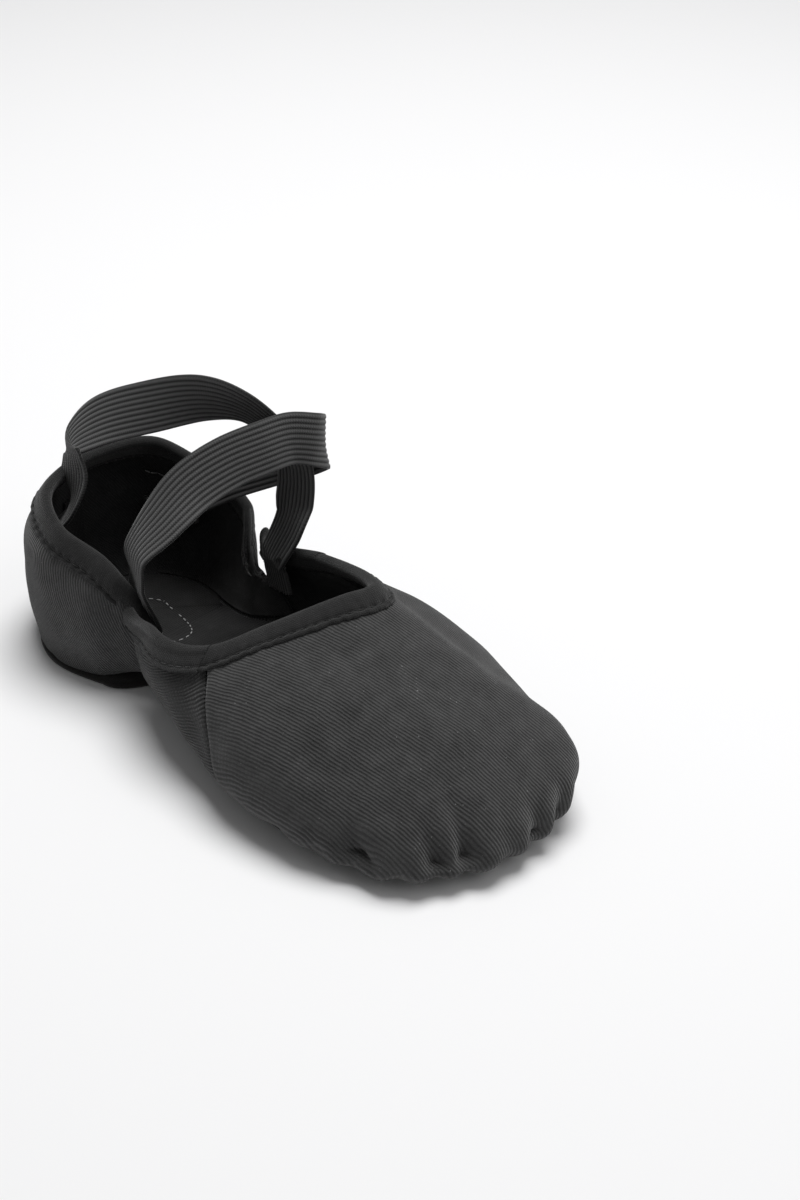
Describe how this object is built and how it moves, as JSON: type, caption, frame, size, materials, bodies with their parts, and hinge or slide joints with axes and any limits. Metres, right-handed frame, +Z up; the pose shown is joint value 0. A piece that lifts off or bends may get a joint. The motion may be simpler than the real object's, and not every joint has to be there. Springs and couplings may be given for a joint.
{
  "type": "ballet slipper",
  "caption": "Soft black canvas split-sole ballet slipper for the right foot, with a bound, elasticated topline, crossed instep elastics and leather patches under ball and heel.",
  "frame": {"origin": "on the floor, under the middle of the slipper's bounding box", "axes": "+X towards the toe, +Y towards the inner side of the foot, +Z up from the floor"},
  "size_m": [0.1982, 0.0936, 0.0921],
  "materials": {
    "canvas": "matt cotton twill canvas",
    "lining": "matt brushed cotton twill",
    "binding": "matt cotton tape with a slightly furry edge",
    "cord": "braided elastic cord",
    "elastic": "lengthwise ribbed, slightly silky",
    "leather": "suede side down, cut edge matt",
    "thread": "spun thread",
    "pale_thread": "pale grey spun thread",
    "label": "blank satin tape"
  },
  "bodies": {
    "forefoot": {"vamp_canvas": "canvas", "vamp_lining": "lining", "throat_binding": "binding", "throat_cord": "cord", "throat_stitching": "thread", "forefoot_patch": "leather", "forefoot_sock": "lining", "forefoot_patch_stitching": "pale_thread", "arch_panel_outer": "canvas", "arch_panel_inner": "canvas", "arch_lining_outer": "lining", "arch_lining_inner": "lining", "arch_sock": "lining", "care_label": "label", "waist_outer_binding": "binding", "waist_outer_cord": "cord", "waist_outer_stitching": "thread", "waist_inner_binding": "binding", "waist_inner_cord": "cord", "waist_inner_stitching": "thread"},
    "heel": {"heel_quarter_outer": "canvas", "heel_quarter_inner": "canvas", "heel_lining_outer": "lining", "heel_lining_inner": "lining", "back_seam_tape": "binding", "heel_binding": "binding", "heel_cord": "cord", "heel_stitching": "thread", "heel_patch": "leather", "heel_sock": "lining", "heel_patch_stitching": "pale_thread", "under_elastic_rear_end": "elastic", "under_elastic_rear_tack": "thread", "under_elastic_front_end": "elastic", "under_elastic_front_tack": "thread", "over_elastic_front_end": "elastic", "over_elastic_front_tack": "thread", "over_elastic_rear_end": "elastic", "over_elastic_rear_tack": "thread"},
    "under_strap": {"under_elastic": "elastic"},
    "over_strap": {"over_elastic": "elastic"}
  },
  "joints": [
    {"name": "arch_flex", "type": "hinge", "parent": "forefoot", "child": "heel", "pos_m": [-0.008, 0.0015, 0.026], "axis": [0, -1, 0], "range_deg": [0, 45], "stiffness_Nm_per_rad": 0.15, "deforming": ["arch_panel_outer", "arch_panel_inner", "arch_lining_outer", "arch_lining_inner", "arch_sock", "care_label", "waist_outer_binding", "waist_outer_cord", "waist_outer_stitching", "waist_inner_binding", "waist_inner_cord", "waist_inner_stitching"]},
    {"name": "under_elastic_swing", "type": "hinge", "parent": "heel", "child": "under_strap", "pos_m": [-0.0891, -0.0171, 0.0338], "axis": [0.8446, 0.523, -0.1145], "range_deg": [-3, 5], "stiffness_Nm_per_rad": 0.1},
    {"name": "over_elastic_swing", "type": "hinge", "parent": "heel", "child": "over_strap", "pos_m": [-0.0332, -0.0235, 0.0274], "axis": [-0.6231, 0.7808, 0.0468], "range_deg": [-3, 12], "stiffness_Nm_per_rad": 0.1}
  ]
}
